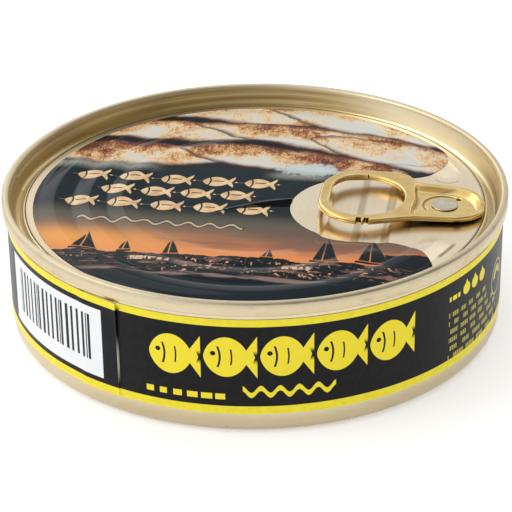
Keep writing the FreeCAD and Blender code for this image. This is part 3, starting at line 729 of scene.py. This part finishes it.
def film_print():
    """Gloss print.  A sprat is the place turned and moved to the fish, (s, t) along and across: it
    fills |t| < half_height (1 + flare s) (1 - |s|^2.6)^0.75, and its skin runs from silver over
    cream and gold to bronze and maroon as a sum of height on the fish and two noises grows."""
    material, shader, place = new_finish("film_print", IOR=1.17)
    x, y = place.part(0) - PRINT_OFF[0], place.part(1) - PRINT_OFF[1]
    blot = place.grain(0.10, 3.0)
    fine = place.grain(1.1, 4.0)
    speck = place.grain(0.42, 5.0)
    wisp = place.grain(0.07, 5.0, (0.4, 2.2, 1))

    # dusk sky over the town, dark water in front of it
    sky = y.ease(-24.0, -18.0).over(paint(226, 142, 82), paint(198, 120, 78))
    for low, high, colour in ((-20.5, -14.0, (140, 104, 80)), (-15.5, -9.0, (94, 88, 76)),
                              (-10.0, -3.0, (6, 24, 30))):
        sky = y.ease(low, high).over(sky, paint(*colour))
    glow = x.ease(4, -38) * y.between(-22.5, -15.5, 3.5)
    sky = sky.coat(glow * 0.7, 246, 172, 82)
    cloud = (wisp + (x - 4) * 0.0035).ease(0.44, 0.62) * y.between(-21.5, -10.0, 2.5)
    sky = sky.coat(cloud * 0.6, 92, 78, 70)
    ripple = place.grain(0.30, 4.0, (0.4, 2.6, 1))
    glint = ripple.ease(0.46, 0.60) * (y + 31.2 + (x + 10) * 0.030).between(-0.8, 0.6, 0.35)
    water = y.ease(-41.0, -34.0).over(paint(18, 32, 38), paint(8, 24, 30))
    water = water.coat(glint * 0.75, 154, 126, 116)
    shore = -23.9 + (blot - 0.5) * 2.6 + (speck - 0.5) * 1.6
    tone = (y - shore).ease(-0.12, 0.12).over(water, sky)

    # the town: dark roofs and trees, paler fronts, rows of lamps
    town = (shore - y).ease(0.0, 0.25) * (y + 30.4).ease(-0.9, 0.5)
    tone = tone.coat(town, 12, 22, 26)
    fronts = (place.grain(0.30, 4.0, (0.6, 2.6, 1)) + x * 0.0014).ease(0.54, 0.60)
    fronts = fronts * y.between(-29.4, -24.0, 0.6)
    brick = speck.ease(0.40, 0.60).over(paint(158, 112, 96), paint(100, 84, 82))
    tone = (fronts * 0.7).over(tone, brick)
    hall = x.between(-21.0, -13.0, 0.1) * y.between(-26.9, -25.6, 0.12)
    hall = hall.most(x.between(9.0, 14.6, 0.1) * y.between(-27.6, -26.2, 0.12))
    hall = hall * (place.grain(0.9, 2.0, (1.6, 0.5, 1))).ease(0.36, 0.50)
    tone = tone.coat(hall * 0.8, 236, 206, 168)
    lamp = place.grain(1.25, 2.0).ease(0.60, 0.68) * y.between(-30.6, -24.8, 0.5)
    lamp = lamp * (place.grain(0.14, 2.0) + x * 0.002).ease(0.44, 0.58)
    tone = tone.coat(lamp * 0.8, 244, 186, 144)
    embers = place.grain(0.9, 3.0, (0.6, 1.6, 1)).ease(0.58, 0.68) * y.between(-30.2, -25.2, 0.8)
    tone = tone.coat(embers * 0.55, 190, 126, 104)

    # sailing boats on the sky line, and a dark hill at the right
    def sail(centre, base, tall, wide, lean):
        """Two sails back to back: right edge upright, left edge slanting."""
        s, t = x - centre - (y - base) * lean, y - base
        share = 1 - t / tall
        main = (share * wide - s).least(s - 0.12).ease(-0.08, 0.08)
        jib = (share * wide * 0.62 + s).least(-0.12 - s).ease(-0.08, 0.08)
        jib = jib * t.ease(tall * 0.82, tall * 0.78)
        hull = s.between(-wide * 0.8, wide * 1.1, 0.1) * t.between(-0.9, -0.2, 0.1)
        return (main.most(jib) * t.between(0.0, tall, 0.08)).most(hull)

    for boat in BOATS:
        tone = sail(*boat).over(tone, paint(12, 24, 30))
    hill = (y + 19.2 - (speck - 0.5) * 1.6).ease(0.2, -0.2) * (y + 24.5).ease(-1.5, 1.0)
    hill = hill * x.ease(27.6, 28.4)
    tone = tone.coat(hill, 6, 20, 28)

    # dark middle
    middle = (y + 3.5 + (blot - 0.5) * 3.0).ease(-2.0, 3.0)
    tone = middle.over(tone, fine.ease(0.3, 0.7).over(paint(0, 22, 29), paint(8, 30, 38)))

    # rows of small golden fish with dots between them
    def small_row(level, left, right, count):
        """Row of little fish, head left: lens-shaped body and forked tail, with a dot after each."""
        pitch = (right - left) / count
        s = (x - left) / pitch
        s = (s.fract() - 0.5) * pitch / ROW_FISH
        t = (y - level) / ROW_FISH
        body = (1 - (s + 0.12) * (s + 0.12) * 2.4).most(0.0) ** 0.7 * 0.5
        body = (body - abs(t)).ease(-0.03, 0.03)
        tail = ((s - 0.34) * 1.25 + 0.06 - abs(t)).ease(-0.03, 0.03) * s.between(0.36, 0.76, 0.02)
        fork = (s - 0.62 - abs(t) * 0.4).ease(-0.02, 0.02)
        gill = abs(s + 0.38 + t * t * 0.5).ease(0.06, 0.03)
        dot = (s - 0.86).squares(t).ease(0.005, 0.002)
        stripe = abs(t - 0.06).ease(0.06, 0.03) * s.between(-0.25, 0.25, 0.03)
        shape = body.most(tail * (1 - fork)).most(dot) * (1 - gill) * (1 - stripe)
        return shape * x.between(left, right, 0.1)

    rows = small_row(*ROWS[0]).most(small_row(*ROWS[1])).most(small_row(*ROWS[2]))
    ink = place.grain(0.5, 3.0)
    gold = ink.ease(0.3, 0.7).over(paint(206, 166, 120), paint(234, 204, 160))
    tone = rows.over(tone, gold)
    wave = y + 10.6 - (x * 1.45).sine() * 0.8
    tone = tone.coat(abs(wave).ease(0.95, 0.45) * x.between(-34.8, -0.6, 0.2) * 0.8, 30, 24, 20)
    wave = abs(wave).ease(0.46, 0.30) * x.between(-34.5, -0.9, 0.2)
    tone = tone.coat(wave, 190, 170, 142)

    # painted shade in the fold along the crease, and a painted highlight on its ridge
    over_x, over_y = place.part(0), place.part(1)
    ridge = -3.1 + over_x * 0.47 - over_x * over_x * 0.0145
    fold = (ridge - over_y) / ((over_x + 9.5).most(0.01) * 0.19)
    fold_shade = fold.between(0.0, 1.0, 0.10) * over_x.ease(-9.0, -6.0)
    tone = tone.coat(fold_shade * 0.95, 3, 4, 5)
    ridge_highlight = abs(over_y - ridge - 0.25).ease(0.34, 0.12) * over_x.ease(-9.0, -2.0)
    tone = tone.coat(ridge_highlight * 0.22, 150, 160, 164)

    # smoked sprats
    scales = place.grain(1.0, 3.0, (1.0, 0.62, 1))
    patch = place.grain(0.14, 3.0)
    pores = place.grain(2.6, 2.0, (1.0, 0.6, 1))

    def sprat(under, centre, tilt, half_length, half_height, flare, pale):
        """One sprat laid over the colour below it; a larger pale gives more silver."""
        turn = math.radians(tilt)
        moved_x, moved_y = x - centre[0], y - centre[1]
        s = (moved_x * math.cos(turn) + moved_y * math.sin(turn)) / half_length
        t = moved_y * math.cos(turn) - moved_x * math.sin(turn)
        t = t + (speck - 0.5) * 1.1 + (blot - 0.5) * 2.0
        reach = (1 - (abs(s) ** 2.6)).most(0.0) ** 0.75 * ((s * flare + 1) * half_height)
        margin = reach - abs(t)
        share = t / half_height
        value = share * 0.30 + (scales - 0.5) * 0.85 + (patch - 0.5) * 2.1 + (pores - 0.5) * 1.0 - pale
        skin = paint(206, 206, 198)
        for low, high, colour in SKIN:
            skin = value.ease(low, high).over(skin, paint(*colour))
        rim = margin.ease(1.9, 0.2) * (0.8 - share * 0.15)
        skin = skin.coat(rim, 104, 54, 40)
        skin = skin.coat(margin.ease(0.7, -0.1) * 0.8, 34, 28, 30)
        return margin.ease(-0.40, 0.40).over(under, skin)

    gap = (y - 16.0 + (x + 12.0).least(0.0) * 0.06 - (x - 6.0).most(0.0) * 0.10).ease(-1.0, 1.0)
    tone = tone.coat(gap * 0.7, 20, 18, 20)
    for one in SPRATS:
        tone = sprat(tone, *one)
    silver = (x - 9.0) * (x - 9.0) / 64.0 + (y - 17.4) * (y - 17.4) / 12.0 + (scales - 0.5) * 1.6
    tone = tone.coat(silver.ease(1.0, 0.4) * 0.8, 190, 206, 208)
    haze = y.between(13.4, 16.0, 1.8) * x.ease(-20.0, -27.0)
    haze = haze + y.between(12.8, 15.0, 1.6) * x.between(2.0, 13.0, 3.0)
    tone = (haze * (0.25 + pores * 0.9)).least(0.7).over(tone, paint(164, 166, 154))

    # gloss and slight unevenness of the glued film
    rough = 0.05 + place.grain(0.3, 4.0).ease(0.4, 0.8) * 0.05 + fold_shade * 0.85
    dull = place.grain(0.05, 3.0) * 0.8 + fine * 0.02
    lay_on(shader, tone, rough, dull, depth=0.03)
    return material


put_in("printed_film", "lid_film", film_print(), [(film_grid(), True)])

# ---- ring tab --------------------------------------------------------------------
# Stamped steel lever with gold lacquer: its outer edge and the edge of the finger hole are curled
# under, and behind the ring a sunk web holds the tongue that is riveted to the lid.
TAB_NOSE = 46.65
RING_CENTRE = 21.8
RIVET = (38.55, -0.15)                    # before the nose's lean
TAB_BASE = 25.2
TAB_TILT = 1.26
TAB_TOP = 1.22
CURL = 0.5
HOLE_CURL = 0.45
WEB_TOP = 0.24
NOSE_LEAN = 0.25                          # the nose sits a little towards the front
POCKET_RIM = 1.2
WEB_START = 31.9
RING_WALL = (21.6, 10.9)                  # centre x and radius of the wall behind the ring
BACK_SIDE = ((13.4, 11.6, 8.8), (26.5, 11.6, 8.0), (30.4, 10.8, 1.8), (32.8, 7.8, 1.6),
             (46.65, 6.9, 6.8))           # corners x, y and rounding of the outline's two sides
FRONT_SIDE = ((13.4, 11.6, 8.8), (23.6, 11.6, 6.0), (33.5, 7.9, 8.0), (46.65, 6.9, 6.8))
HOLE = ((15.6, 9.0, 6.0), (30.4, 9.0, 8.8))
NOTCHES = (22.2, 23.7)
SLIT_X = 22.3
TONGUE = (4.1, 4.45)                      # inner and outer radius of the slot round it
TONGUE_SAG = 0.20
PILOT = (2.6, 3.3, 0.62)                  # from the rivet: x, y and radius
DENTS = ((4.3, 0.9), (4.1, -1.5))         # from the rivet
GOLD = (230, 200, 134)


def reach_of(back, front, angle):
    """Distance from the ring's centre to a closed outline at each angle, from its two halves."""
    lower = [(x, -y, r) for x, y, r in front[::-1]]
    start = ((back[0][0], 0.0, 0),)
    line = profile([*start, *back, *lower, *start], steps=24, longest=0.1)
    turn = np.arctan2(line[:, 1], line[:, 0] - RING_CENTRE)
    turn[0] = np.pi
    turn[-1] = -np.pi
    far = np.hypot(line[:, 0] - RING_CENTRE, line[:, 1])
    order = np.argsort(turn)
    return np.interp(angle, turn[order], far[order])


def inset(side, distance):
    """Side of the outline that lies inside by a distance; rounded corners shrink with it, hollow
    ones grow."""
    hollow = (1.6, 8.0)
    return [(x + distance if i == 0 else x - distance * (i == len(side) - 1), y - distance,
             r + distance if (r in hollow and y < 8.0) else r - distance)
            for i, (x, y, r) in enumerate(side)]


def web_height(x, y):
    """Height of the sunk web in the tab's own frame.  A C-shaped slot between two radii round the
    rivet is open within 81 degrees of the back left; the tongue inside it hangs a little lower,
    and a pilot hole and two small pressed dents lie towards the nose."""
    off_x, off_y = x - RIVET[0], y - RIVET[1]
    radius = np.hypot(off_x, off_y) + 1e-6
    deep = PANEL_HEIGHT - TAB_BASE - (TAB_NOSE - x) * math.tan(math.radians(TAB_TILT))
    facing = (off_y * 0.725 - off_x * 0.688) / radius
    window = limit((facing - 0.148) / 0.05 + 0.5)
    inside = limit((TONGUE[0] - radius) / 0.12 + 0.5)
    beyond = limit((radius - TONGUE[1]) / 0.12 + 0.5)
    hang = limit(facing + 0.4)
    sunk = TONGUE_SAG * hang * hang * limit((TONGUE[0] + 0.6 - radius) / 0.6)
    sheet = np.maximum(np.maximum(inside, beyond), 1 - window)
    height = deep + (WEB_TOP - sunk - deep) * smooth(sheet)
    hole = limit((PILOT[2] - np.hypot(off_x - PILOT[0], off_y - PILOT[1])) / 0.12 + 0.5)
    height = height * (1 - hole) + deep * hole
    for dent_x, dent_y in DENTS:
        dent = np.hypot((off_x - dent_x) / 0.85, (off_y - dent_y) / 0.5)
        height = height - 0.06 * limit((1.2 - dent) / 0.5)
    return height


def tab_grid():
    """Closed section carried round the ring's centre: at each angle the point goes from the hole's
    edge over the inner curl, the rim, the sunk web and the outer curl, and back underneath.  The
    web's walls fall over 0.6 mm, and 1.8 mm at the back; the whole is tilted about the nose."""
    fan = np.concatenate([np.linspace(-180, -93, 70), np.linspace(-93, -76, 86)[1:],
                          np.linspace(-76, -42, 45)[1:], np.linspace(-42, 38, 350)[1:],
                          np.linspace(38, 82, 50)[1:], np.linspace(82, 91, 46)[1:],
                          np.linspace(91, 180, 70)[1:-1]])
    angle = np.radians(fan)
    outer = reach_of(BACK_SIDE, FRONT_SIDE, angle)
    edge = reach_of(inset(BACK_SIDE, POCKET_RIM), inset(FRONT_SIDE, POCKET_RIM), angle)
    hole = reach_of(HOLE, HOLE, angle)
    shift = RING_WALL[0] - RING_CENTRE
    wall = shift * np.cos(angle) + np.sqrt(RING_WALL[1] ** 2 - (shift * np.sin(angle)) ** 2)
    wall = np.where(abs(fan) < 60, np.minimum(wall, edge), edge)
    lean = edge / np.hypot(edge, np.gradient(edge, angle))
    for x in NOTCHES:
        off = abs(RING_CENTRE + outer * np.cos(angle) - x) + 9 * (angle > 0)
        outer = outer - 1.3 * limit(1 - off / 0.58)
    off = abs(RING_CENTRE + hole * np.cos(angle) - SLIT_X) + 9 * (angle < 0)
    hole = hole + 0.4 * limit(1 - off / 0.13) ** 0.5

    # inner part: (share of the way from the hole's edge, height)
    bow = np.radians(np.linspace(-90, 90, 15))
    curl_in = np.stack([HOLE_CURL - HOLE_CURL * np.cos(bow),
                        np.where(bow < 0, HOLE_CURL, TAB_TOP - HOLE_CURL) + HOLE_CURL * np.sin(bow)], -1)
    flat_in = np.array([0.6, 0.8, 0.94, 0.98])
    dive = np.radians(np.linspace(90, -90, 17))
    curl_out = np.stack([CURL - CURL * np.cos(dive),
                         np.where(dive < 0, CURL, TAB_TOP - CURL) + CURL * np.sin(dive)], -1)
    band = wall - hole
    first = hole[:, None] + curl_in[:, 0]
    second = hole[:, None] + band[:, None] * flat_in
    u = np.linspace(0, 1, 131)
    third = wall[:, None] * (1 - u) + edge[:, None] * u
    u = np.array([0.15, 0.35, 0.5, 0.6])
    fourth = edge[:, None] * (1 - u) + (outer - (outer - edge) * CURL / POCKET_RIM)[:, None] * u
    fifth = outer[:, None] - ((outer - edge) / POCKET_RIM)[:, None] * curl_out[:, 0]
    under = np.linspace(1, 0, 6)[1:-1] * (fifth[:, -1:] - first[:, :1]) + first[:, :1]
    far = np.concatenate([first, second, third, fourth, fifth, under], 1)
    x = RING_CENTRE + far * np.cos(angle)[:, None]
    y = far * np.sin(angle)[:, None]
    level = np.full(far.shape, TAB_TOP)
    a = first.shape[1]
    b = a + second.shape[1] + third.shape[1] + fourth.shape[1]
    level[:, :a] = curl_in[:, 1]
    level[:, b:b + len(curl_out)] = curl_out[:, 1]
    level[:, b + len(curl_out):] = 0.0
    from_ring = np.hypot(x - RING_WALL[0], y) - RING_WALL[1]
    from_rim = (edge[:, None] - far) * lean[:, None]
    back = limit(y / 4.0 + 0.3)
    rim_fall = limit((from_rim + 0.1) / (0.6 + 1.2 * back))
    deep = rim_fall ** 1.3 * (2.3 - 1.3 * rim_fall) * smooth((from_ring + 0.1) / 0.6)
    deep = deep * smooth((x - WEB_START) / 0.9) * (abs(fan) < 60)[:, None]
    foot_groove = np.exp(-((rim_fall - 0.97) / 0.05) ** 2) * 0.06
    top = (np.arange(far.shape[1]) >= a) & (np.arange(far.shape[1]) < b)
    level = np.where(top, level * (1 - deep) + (web_height(x, y) - foot_groove) * deep, level)
    crown = limit(1 - abs(far - (hole + outer)[:, None] / 2) / 1.3) * 0.04
    level = level + crown * top * (1 - deep) * (abs(fan) > 50)[:, None]
    y = y - NOSE_LEAN * smooth((x - 29) / 6) - 0.7 * limit((x - 41.5) / 5.1) ** 2
    x = x - 0.15 * limit((18 - x) / 5)
    turn = math.radians(TAB_TILT)
    tilted = np.stack([TAB_NOSE + (x - TAB_NOSE) * math.cos(turn) + level * math.sin(turn), y,
                       TAB_BASE - (x - TAB_NOSE) * math.sin(turn) + level * math.cos(turn)], -1)
    return np.concatenate([tilted, tilted[:1]])


def gold_lacquer():
    """Gold lacquer over steel: soft cloudy tone, fine drawing lines along the tab, scuffs on the
    crests, a paler sunk web, specks of rust, and painted shade on the wall behind the ring, the
    back wall, the slot, the pilot hole, the dents, the notches, the slit, the gap under the web
    and the curls' lower slopes."""
    material, shader, place = new_finish("gold_tab_lacquer", Metallic=1.0)
    x, y, z = place.part(0), place.part(1), place.part(2)
    cloud = place.grain(0.35, 3.0)
    lines = place.grain(1.2, 4.0, (0.5, 5.0, 1.0))
    tone = cloud.ease(0.3, 0.7).over(paint(220, 187, 116), paint(*GOLD))
    tone = tone.coat(lines.ease(0.45, 0.75) * 0.35, 246, 220, 156)
    local = z - TAB_BASE - (TAB_NOSE - x) * math.tan(math.radians(TAB_TILT))
    sunk = local.ease(0.9, 0.3) * x.ease(32.0, 32.6)
    tone = tone.coat(sunk * 0.6, 240, 214, 150)
    # painted shade on the parts that dip below the tab's base inside the web
    gap = local.ease(-0.06, -0.16) * local.ease(-0.75, -0.60) * x.ease(33.0, 34.0)
    gap = gap * y.between(-5.4, 5.4, 0.1) * x.ease(45.2, 44.9)
    tone = tone.coat(gap, 48, 32, 12)
    # painted shade in the notches and in the slit
    notch_shade = abs(abs(x - sum(NOTCHES) / 2) - (NOTCHES[1] - NOTCHES[0]) / 2).ease(0.60, 0.48)
    notch_shade = notch_shade * y.ease(-10.4, -10.6)
    slit_shade = abs(x - SLIT_X).ease(0.12, 0.07) * y.between(8.8, 9.4, 0.05)
    tone = notch_shade.most(slit_shade).over(tone, paint(40, 27, 10))
    rust_x, rust_z = (x - 41.4) / 0.9, (z - 25.62) / 0.26
    rust = (rust_x.squares(rust_z) + place.grain(1.6, 3.0)).ease(1.6, 0.9) * y.ease(-6.9, -7.2)
    tone = tone.coat(rust * 0.8, 140, 66, 26)
    off_x, off_y = x - RIVET[0], y - RIVET[1] + NOSE_LEAN
    pilot_x, pilot_y = off_x - PILOT[0], off_y - PILOT[1] + 0.1
    # painted shade in the pilot hole and the C-slot
    pilot = pilot_x.squares(pilot_y).ease(PILOT[2] ** 2, PILOT[2] ** 2 * 0.6)
    pilot = pilot * local.ease(0.4, 0.0)
    radius = off_x.span(off_y)
    slot = radius.between(TONGUE[0] - 0.05, TONGUE[1] + 0.05, 0.06)
    slot = slot * local.ease(0.12, -0.1) * x.ease(33.0, 33.6)
    tone = pilot.most(slot).over(tone, paint(24, 16, 6))
    # painted shade round the dents
    for dent_x, dent_y in DENTS:
        s, t = (off_x - dent_x) / 0.95, (off_y - dent_y) / 0.6
        dent_shade = s.squares(t).between(0.45, 1.0, 0.3) * sunk
        tone = tone.coat(dent_shade * 0.6, 176, 134, 62)
    # painted shade on the wall behind the ring
    behind = (x - RING_WALL[0]).squares(y).ease(12.1 ** 2, 11.2 ** 2)
    behind = behind * local.ease(1.15, 0.8) * x.ease(30.0, 31.0) * sunk
    tone = tone.coat(behind * 0.75, 120, 82, 30)
    # painted shade on the back wall of the hollow
    wall = local.between(0.30, 1.0, 0.15) * y.ease(3.0, 4.0) * x.ease(41.0, 37.0) * x.ease(32.2, 33.4)
    tone = tone.coat(wall * 0.7, 140, 106, 48)
    # painted shade on the tab's lower part
    tone = tone.coat(local.ease(0.50, 0.10) * (1 - sunk) * 0.8, 124, 108, 62)
    beak = (x - 45.7).ease(0.0, 0.6) * place.grain(1.2, 3.0).ease(0.35, 0.6)
    tone = tone.coat(beak * 0.6, 150, 112, 60)
    worn = local.ease(TAB_TOP - 0.12, TAB_TOP + 0.02) * place.grain(1.0, 4.0).ease(0.62, 0.78)
    tone = tone.coat(worn * 0.2, 244, 224, 176)
    # painted shade on the curls' lower slopes
    curl = local.ease(TAB_TOP - 0.15, 0.45) * (1 - sunk)
    tone = tone.coat(curl * 0.55, 214, 172, 92)
    rough = 0.22 + (lines - 0.5) * 0.08 + worn * 0.10 + (cloud - 0.5) * 0.06
    lay_on(shader, tone, rough, lines * 0.5 + place.grain(1.0, 3.0) * 0.8, depth=0.03)
    return material


put_in("ring_tab", "pull_tab", gold_lacquer(), [(tab_grid(), True)])

# ---- rivet -----------------------------------------------------------------------
# Button drawn up from the lid's own sheet and staked flat over the tongue: a round head with a
# shallow dish, bare grey where the lacquer cracked off.
HEAD = 2.68
SHANK = 1.6


def staked_steel():
    """Bare staked metal: grey satin with fine circular marks, a warm worn edge, and painted shade under the
    head.
    """
    material, shader, place = new_finish("staked_rivet_steel", Metallic=1.0)
    off_x, off_y = place.part(0) - RIVET[0], place.part(1) - RIVET[1] + NOSE_LEAN
    radius = off_x.span(off_y)
    rings = radius.joined(0.0, 0.0).grain(4.0, 3.0)
    cloud = place.grain(0.8, 3.0)
    tone = cloud.ease(0.3, 0.7).over(paint(190, 182, 164), paint(208, 200, 180))
    tone = tone.coat(radius.ease(2.1, 2.6) * 0.5, 186, 164, 122)
    # painted shade under the head
    below = place.part(2).ease(25.72, 25.58)
    tone = tone.coat(below * 0.9, 52, 38, 18)
    lay_on(shader, tone, 0.34 + (rings - 0.5) * 0.15, rings + cloud, depth=0.03)
    return material


base = PANEL_HEIGHT + 0.1
top = PANEL_HEIGHT + 1.05
head_line = profile([
    (SHANK, base, 0),
    (SHANK, top - 0.34, 0),
    (HEAD - 0.1, top - 0.28, 0.02),
    (HEAD, top - 0.16, 0.1),
    (HEAD - 0.1, top, 0.12),
    (SHANK, top, 0.5),
    (SHANK * 0.6, top - 0.07, 0.5),
    (0, top - 0.07, 0),
], steps=8, longest=0.25)
head = turned(head_line, 96) + (RIVET[0], RIVET[1] - NOSE_LEAN, 0)
put_in("rivet_head", "rivet", staked_steel(), [(head, True)])

# ---- floor, light and camera -----------------------------------------------------
# Plain white floor under soft studio light: two soft boxes, far and at the left, and a white room round it.
FLOOR = 1.6
FLOOR_GLOW = 0.28
ROOM_LEVEL = 0.86                         # light of the white room on the tin
CAMERA_AZIMUTH = 8.5                      # degrees from the side with -Y in front
CAMERA_HEIGHT = 28.95                     # degrees above the floor, seen from the tin's foot
CAMERA_AWAY = 0.4429
AIM = (0.00007, 0.01145)                  # sideways from the axis, and above the floor
CAMERA_ROLL = -0.678
LENS = 149.1

floor_finish, floor_shader, floor_place = new_finish("floor_paper", Roughness=0.9)
tone = floor_place.grain(0.004, 3.0).over(paint(246, 246, 246), paint(250, 250, 250))
RAYS = ("Is Camera Ray", "Is Glossy Ray", "Is Transmission Ray")
glow = [floor_place.node("ShaderNodeLightPath", output=name) for name in RAYS]
glow = glow[0].most(glow[1]).most(glow[2]).over((0.0, 0.0, 0.0, 1.0), (1.0, 1.0, 1.0, 1.0))
lay_on(floor_shader, tone)
floor_shader.id_data.links.new(glow.socket, floor_shader.inputs["Emission Color"])
floor_shader.inputs["Emission Strength"].default_value = FLOOR_GLOW
mesh = bpy.data.meshes.new("floor")
mesh.from_pydata([(-FLOOR, -FLOOR, 0), (FLOOR, -FLOOR, 0), (FLOOR, FLOOR, 0), (-FLOOR, FLOOR, 0)],
                 [], [(0, 1, 2, 3)])
mesh.materials.append(floor_finish)
floor = bpy.data.objects.new("floor", mesh)
bpy.context.scene.collection.objects.link(floor)

world = bpy.data.worlds.new("white_room")
world.use_nodes = True
tree = world.node_tree
tree.nodes.clear()
start = Tone(tree)
seen = [start.node("ShaderNodeLightPath", output=name) for name in RAYS]
look = start.node("ShaderNodeTexCoord", output="Generated")
front = (0.80, -0.50, 0.34)
dim = look.vector("DOT_PRODUCT", front, "Value")
gap_between = (-0.134, 0.896, 0.423)
dark = look.vector("DOT_PRODUCT", gap_between, "Value")
mirrored = (1 - dim.ease(0.10, 0.80) * 0.7) * (1 - dark.ease(0.972, 0.990) * 0.28) * seen[1]
strength = (seen[0].most(seen[2]).most(mirrored)).most(ROOM_LEVEL * (1 - seen[1]))
room = start.node("ShaderNodeBackground", None, {"Color": (1.0, 1.0, 1.0, 1.0), "Strength": strength})
start.node("ShaderNodeOutputWorld", None, {0: room})
bpy.context.scene.world = world


def soft_box(name, azimuth, rise, away, wide, tall, glow):
    """Rectangular area lamp that looks at the tin from an azimuth (degrees from +X) and a rise
    above the floor; glow is its brightness beside a white wall."""
    a, e = math.radians(azimuth), math.radians(rise)
    place = Vector((math.cos(a) * math.cos(e), math.sin(a) * math.cos(e), math.sin(e))) * away
    lamp = bpy.data.lights.new(name, "AREA")
    lamp.shape = "RECTANGLE"
    lamp.size = wide
    lamp.size_y = tall
    lamp.energy = glow * math.pi * wide * tall
    box = bpy.data.objects.new(name, lamp)
    turned_in = (-place).to_track_quat("-Z", "Y").to_matrix().to_4x4()
    box.matrix_world = Matrix.Translation(place + Vector((0, 0, 0.02))) @ turned_in
    bpy.context.scene.collection.objects.link(box)


soft_box("soft_box_far", 131.0, 34.0, 1.0, 0.80, 0.50, 1.0)
soft_box("soft_box_left", 200.0, 34.0, 1.0, 0.80, 0.60, 1.7)

turn = math.radians(CAMERA_AZIMUTH)
height = math.radians(CAMERA_HEIGHT)
stand = Vector((math.sin(turn) * math.cos(height), -math.cos(turn) * math.cos(height),
                math.sin(height))) * CAMERA_AWAY
aim = Vector((AIM[0] * math.cos(turn), AIM[0] * math.sin(turn), AIM[1]))
back = (stand - aim).normalized()
side = Vector((0, 0, 1)).cross(back).normalized()
up = back.cross(side)
roll = math.radians(CAMERA_ROLL)
across = side * math.cos(roll) + up * math.sin(roll)
upright = up * math.cos(roll) - side * math.sin(roll)
lens = bpy.data.cameras.new("camera")
lens.lens = LENS
lens.sensor_width = 36.0
lens.clip_start = 0.01
camera = bpy.data.objects.new("camera", lens)
camera.matrix_world = Matrix((
    (across.x, upright.x, back.x, stand.x),
    (across.y, upright.y, back.y, stand.y),
    (across.z, upright.z, back.z, stand.z),
    (0, 0, 0, 1)))
bpy.context.scene.collection.objects.link(camera)
bpy.context.scene.camera = camera
bpy.context.scene.view_settings.view_transform = "Standard"
